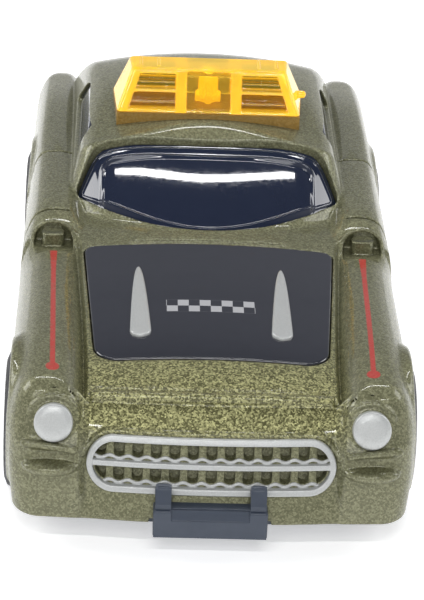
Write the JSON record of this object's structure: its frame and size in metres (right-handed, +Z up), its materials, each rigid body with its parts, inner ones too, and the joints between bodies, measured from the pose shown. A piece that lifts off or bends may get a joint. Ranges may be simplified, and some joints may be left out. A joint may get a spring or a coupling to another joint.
{
  "type": "toy car",
  "caption": "Small friction-drive toy taxi with a flaked metal body, pontoon fenders, amber roof light bar, dark glazing and rolling wheels.",
  "frame": {"origin": "on the ground under the middle of the car", "axes": "-Y is the driving direction, +X across the car, +Z up"},
  "size_m": [0.0334, 0.0762, 0.0237],
  "materials": {
    "body_paint": "gloss metal flake",
    "panel_gloss": "gloss",
    "glazing": "gloss",
    "amber": "clear gloss",
    "base_plastic": "satin",
    "silver": "satin silver",
    "tyre": "matte",
    "steel": "satin",
    "flywheel_metal": "turned",
    "gear_plastic": "satin"
  },
  "bodies": {
    "car": {"body_shell": "body_paint", "bonnet_panel": "panel_gloss", "window_insert": "glazing", "light_bar_lens": "amber", "light_bar_base": "amber", "beacon_lamp": "amber", "chassis_base": "base_plastic", "base_screws": "steel", "front_axle_keeper": "base_plastic", "keeper_screws": "steel", "motor_plate_left": "steel", "motor_plate_right": "steel", "motor_spacers": "steel", "motor_rivets": "steel"},
    "front_axle_set": {"front_axle": "steel", "front_left_hub": "silver", "front_left_tyre": "tyre", "front_right_hub": "silver", "front_right_tyre": "tyre"},
    "rear_axle_set": {"rear_axle": "steel", "drive_gear": "gear_plastic", "rear_left_hub": "silver", "rear_left_tyre": "tyre", "rear_right_hub": "silver", "rear_right_tyre": "tyre"},
    "compound_set": {"compound_gear": "gear_plastic", "compound_arbor": "steel"},
    "flywheel_set": {"flywheel": "flywheel_metal", "flywheel_pinion": "gear_plastic", "flywheel_arbor": "steel"}
  },
  "joints": [
    {"name": "rear_axle_spin", "type": "hinge", "parent": "car", "child": "rear_axle_set", "pos_m": [0, 0.014, 0.0062], "axis": [1, 0, 0], "continuous": true},
    {"name": "front_axle_spin", "type": "hinge", "parent": "car", "child": "front_axle_set", "pos_m": [0, -0.0264, 0.0058], "axis": [1, 0, 0], "continuous": true},
    {"name": "compound_spin", "type": "hinge", "parent": "car", "child": "compound_set", "pos_m": [0, 0.00859, 0.00785], "axis": [1, 0, 0], "continuous": true},
    {"name": "flywheel_spin", "type": "hinge", "parent": "car", "child": "flywheel_set", "pos_m": [0, 0.00286, 0.00907], "axis": [1, 0, 0], "continuous": true}
  ],
  "couplings": [
    {"joint": "compound_spin", "follows": "flywheel_spin", "ratio": -0.38095},
    {"joint": "rear_axle_spin", "follows": "flywheel_spin", "ratio": 0.15238}
  ]
}
